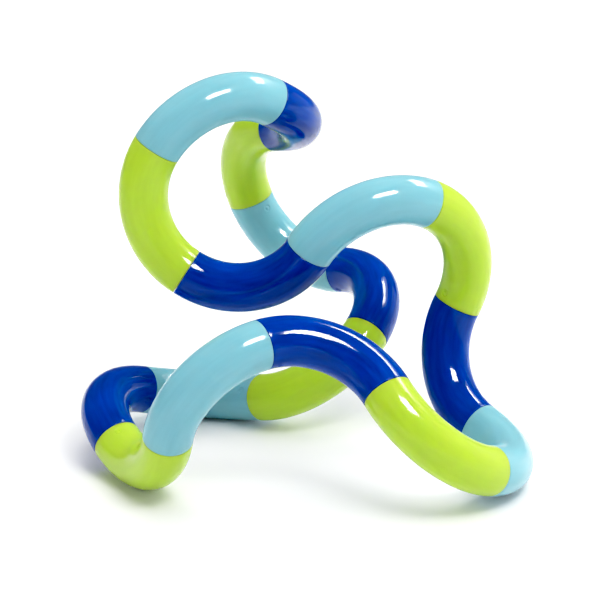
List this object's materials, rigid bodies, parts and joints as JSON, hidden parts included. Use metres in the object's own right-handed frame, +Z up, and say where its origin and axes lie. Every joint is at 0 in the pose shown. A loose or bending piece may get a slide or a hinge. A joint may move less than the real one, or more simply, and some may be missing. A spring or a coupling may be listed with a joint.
{
  "type": "twistable loop puzzle",
  "caption": "Hand-held twisting puzzle: a closed loop of glossy quarter-turn tube links that swivel on each other, posed in a free-standing tangle.",
  "frame": {"origin": "middle of the footprint, on the surface that the loop stands on", "axes": "+Z up; +Y away from a viewer who faces the side shown in the picture, and the loop is deepest along it; +X to that viewer's right"},
  "size_m": [0.1098, 0.1186, 0.0947],
  "materials": {
    "light_blue": "glossy moulded plastic",
    "dark_blue": "glossy moulded plastic",
    "lime_green": "glossy moulded plastic",
    "plug": "natural white bearing plastic"
  },
  "bodies": {
    "link_01": {"link_01": "light_blue", "plug_01": "plug"},
    "link_02": {"link_02": "dark_blue", "plug_02": "plug"},
    "link_03": {"link_03": "lime_green", "plug_03": "plug"},
    "link_04": {"link_04": "light_blue", "plug_04": "plug"},
    "link_05": {"link_05": "dark_blue", "plug_05": "plug"},
    "link_06": {"link_06": "lime_green", "plug_06": "plug"},
    "link_07": {"link_07": "light_blue", "plug_07": "plug"},
    "link_08": {"link_08": "dark_blue", "plug_08": "plug"},
    "link_09": {"link_09": "lime_green", "plug_09": "plug"},
    "link_10": {"link_10": "light_blue", "plug_10": "plug"},
    "link_11": {"link_11": "dark_blue", "plug_11": "plug"},
    "link_12": {"link_12": "lime_green", "plug_12": "plug"},
    "link_13": {"link_13": "light_blue", "plug_13": "plug"},
    "link_14": {"link_14": "dark_blue", "plug_14": "plug"},
    "link_15": {"link_15": "lime_green", "plug_15": "plug"},
    "link_16": {"link_16": "light_blue", "plug_16": "plug"},
    "link_17": {"link_17": "dark_blue", "plug_17": "plug"},
    "link_18": {"link_18": "lime_green", "plug_18": "plug"}
  },
  "joints": [
    {"name": "swivel_01_02", "type": "hinge", "parent": "link_02", "child": "link_01", "pos_m": [-0.00928, -0.04334, 0.0404], "axis": [-0.8636, -0.4963, -0.0882], "continuous": true},
    {"name": "swivel_02_03", "type": "hinge", "parent": "link_03", "child": "link_02", "pos_m": [0.01957, -0.04727, 0.02943], "axis": [-0.4477, 0.6748, 0.5867], "range_deg": [0, 135]},
    {"name": "swivel_03_04", "type": "hinge", "parent": "link_04", "child": "link_03", "pos_m": [0.04332, -0.04665, 0.00935], "axis": [-0.6319, -0.703, 0.3264], "range_deg": [-180, 0]},
    {"name": "swivel_04_05", "type": "hinge", "parent": "link_05", "child": "link_04", "pos_m": [0.04315, -0.01554, 0.00859], "axis": [0.6399, -0.7108, -0.2921], "range_deg": [-40, 0]},
    {"name": "swivel_05_06", "type": "hinge", "parent": "link_06", "child": "link_05", "pos_m": [0.03888, 0.00084, 0.0347], "axis": [-0.4458, -0.0337, -0.8945], "range_deg": [-140, 0]},
    {"name": "swivel_06_07", "type": "hinge", "parent": "link_07", "child": "link_06", "pos_m": [0.03125, -0.00832, 0.06344], "axis": [0.7925, 0.4499, -0.4119], "range_deg": [-180, 0]},
    {"name": "swivel_07_08", "type": "hinge", "parent": "link_08", "child": "link_07", "pos_m": [0.00231, -0.01483, 0.05406], "axis": [0.5232, -0.1542, 0.8382], "range_deg": [-60, 0]},
    {"name": "swivel_08_09", "type": "hinge", "parent": "link_09", "child": "link_08", "pos_m": [-0.0275, -0.00875, 0.04754], "axis": [0.8318, -0.1219, -0.5416], "range_deg": [-40, 0]},
    {"name": "swivel_09_10", "type": "hinge", "parent": "link_09", "child": "link_10", "pos_m": [-0.03375, -0.00558, 0.07785], "axis": [0.5478, 0.0223, 0.8363], "range_deg": [0, 180]},
    {"name": "swivel_10_11", "type": "hinge", "parent": "link_10", "child": "link_11", "pos_m": [-0.00624, 0.00658, 0.08581], "axis": [0.7025, 0.5305, -0.4743], "range_deg": [0, 180]},
    {"name": "swivel_11_12", "type": "hinge", "parent": "link_11", "child": "link_12", "pos_m": [-0.00525, 0.03451, 0.07214], "axis": [-0.6575, 0.7389, -0.1474], "range_deg": [-180, 0]},
    {"name": "swivel_12_13", "type": "hinge", "parent": "link_12", "child": "link_13", "pos_m": [-0.01249, 0.05308, 0.04825], "axis": [0.3285, 0.1051, -0.9386], "range_deg": [0, 180]},
    {"name": "swivel_13_14", "type": "hinge", "parent": "link_13", "child": "link_14", "pos_m": [0.01092, 0.04104, 0.03165], "axis": [0.7354, -0.6521, 0.1844], "range_deg": [0, 180]},
    {"name": "swivel_14_15", "type": "hinge", "parent": "link_14", "child": "link_15", "pos_m": [0.01645, 0.01139, 0.02403], "axis": [-0.4839, -0.6958, -0.5307], "range_deg": [0, 140]},
    {"name": "swivel_15_16", "type": "hinge", "parent": "link_15", "child": "link_16", "pos_m": [-0.00993, 0.01069, 0.00755], "axis": [-0.7153, 0.6639, -0.2182], "range_deg": [-180, 0]},
    {"name": "swivel_16_17", "type": "hinge", "parent": "link_16", "child": "link_17", "pos_m": [-0.04093, 0.0113, 0.01019], "axis": [-0.6936, -0.6361, 0.3381], "range_deg": [-180, 0]},
    {"name": "swivel_17_18", "type": "hinge", "parent": "link_17", "child": "link_18", "pos_m": [-0.04541, -0.01942, 0.00825], "axis": [0.4897, -0.7605, -0.4264], "continuous": true}
  ]
}
